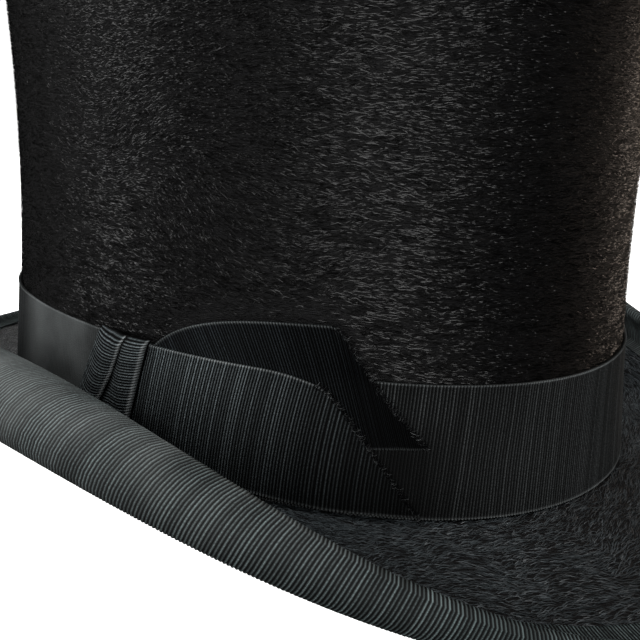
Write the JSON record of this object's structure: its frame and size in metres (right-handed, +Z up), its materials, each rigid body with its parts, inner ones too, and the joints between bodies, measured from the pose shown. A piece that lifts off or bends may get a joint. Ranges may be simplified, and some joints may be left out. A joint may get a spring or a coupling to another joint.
{
  "type": "top hat",
  "caption": "Silk plush top hat with a curled ribbon-bound brim, a ribbon band with a flat tailed bow, satin lining and a leather sweatband.",
  "frame": {"origin": "centre of the hat in plan, on the surface that the brim's front and back stand on", "axes": "+Z up through the crown, -Y to the front of the hat, +X to the wearer's left, where the bow is"},
  "size_m": [0.241, 0.3036, 0.1634],
  "materials": {
    "goss": "muslin stiffened with shellac",
    "plush": "black silk plush with a brushed nap",
    "brim_plush": "short black nap",
    "under_cloth": "matt black cloth",
    "binding_ribbon": "worn black grosgrain, ribs across",
    "band_ribbon": "black grosgrain, ribs across",
    "lining_satin": "ivory satin",
    "sweatband_leather": "smooth tan leather",
    "reed_cover": "tan leather over a cord",
    "sweatband_bow_ribbon": "black satin ribbon"
  },
  "bodies": {
    "root": {"crown_shell": "goss", "tip_shell": "goss", "brim_shell": "goss", "brim_collar": "goss", "crown_plush": "plush", "tip_plush": "plush", "brim_top_plush": "brim_plush", "brim_under_cloth": "under_cloth", "brim_binding": "binding_ribbon", "hat_band": "band_ribbon", "bow_knot": "band_ribbon", "bow_front_tail": "band_ribbon", "bow_back_tail": "band_ribbon", "lining_side": "lining_satin", "lining_tip": "lining_satin", "sweatband": "sweatband_leather", "sweatband_reed": "reed_cover", "sweatband_bow": "sweatband_bow_ribbon"}
  },
  "joints": []
}
